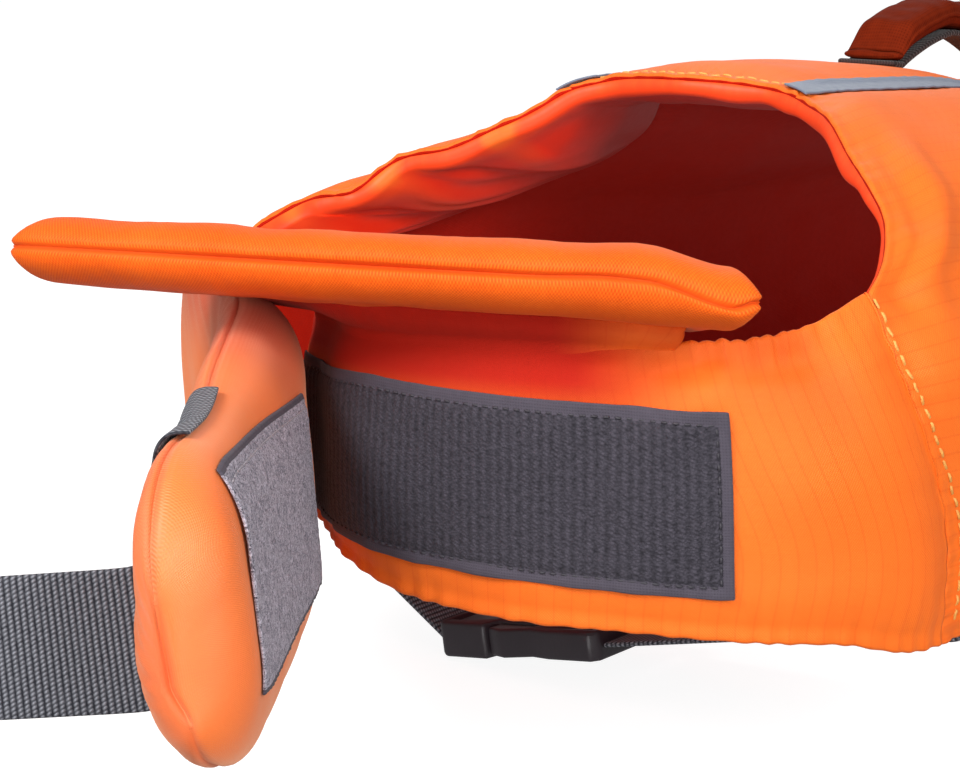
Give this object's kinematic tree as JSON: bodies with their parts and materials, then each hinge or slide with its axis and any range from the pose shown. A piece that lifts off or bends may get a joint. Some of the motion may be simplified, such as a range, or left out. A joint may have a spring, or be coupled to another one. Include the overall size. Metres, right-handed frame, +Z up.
{
  "type": "dog life jacket",
  "caption": "Padded vest that keeps a dog afloat: shaped back and sides, a hook-and-loop chest closure shown open, chin float, belly straps and a lifting handle.",
  "frame": {"origin": "inside of the back panel over the dog's withers, where the jacket rests on the wearer", "axes": "-Y towards the dog's head, +X towards the dog's left side, +Z up"},
  "size_m": [0.3004, 0.7291, 0.2216],
  "materials": {
    "ripstop_orange": "woven ripstop, matt",
    "lining_red": "thin woven lining, matt",
    "reflective_silver": "reflective tape, satin",
    "hook_grey": "hook tape, matt",
    "loop_grey": "loop tape, napped",
    "webbing_grey": "ribbed webbing, matt",
    "grip_rust": "padded cloth, matt",
    "buckle_black": "moulded, satin"
  },
  "bodies": {
    "root": {"back_panel": "ripstop_orange", "side_panel_left": "ripstop_orange", "side_panel_right": "ripstop_orange", "neck_facing": "lining_red", "reflective_strip_left": "reflective_silver", "reflective_strip_right": "reflective_silver", "chest_flap_left": "ripstop_orange", "hook_tape": "hook_grey", "chest_flap_right": "ripstop_orange", "loop_tape": "loop_grey", "chin_float": "ripstop_orange", "float_hinge": "ripstop_orange", "front_buckle_housing": "buckle_black", "front_buckle_prongs": "buckle_black", "front_strap_left": "webbing_grey", "front_strap_right": "webbing_grey", "rear_buckle_housing": "buckle_black", "rear_buckle_prongs": "buckle_black", "rear_strap_left": "webbing_grey", "rear_strap_right": "webbing_grey", "neck_strap": "webbing_grey", "neck_buckle_prongs": "buckle_black", "neck_anchor_tab": "webbing_grey", "neck_buckle_housing": "buckle_black", "strap_keeper": "webbing_grey", "handle_webbing": "webbing_grey", "handle_grip": "grip_rust"}
  },
  "joints": []
}
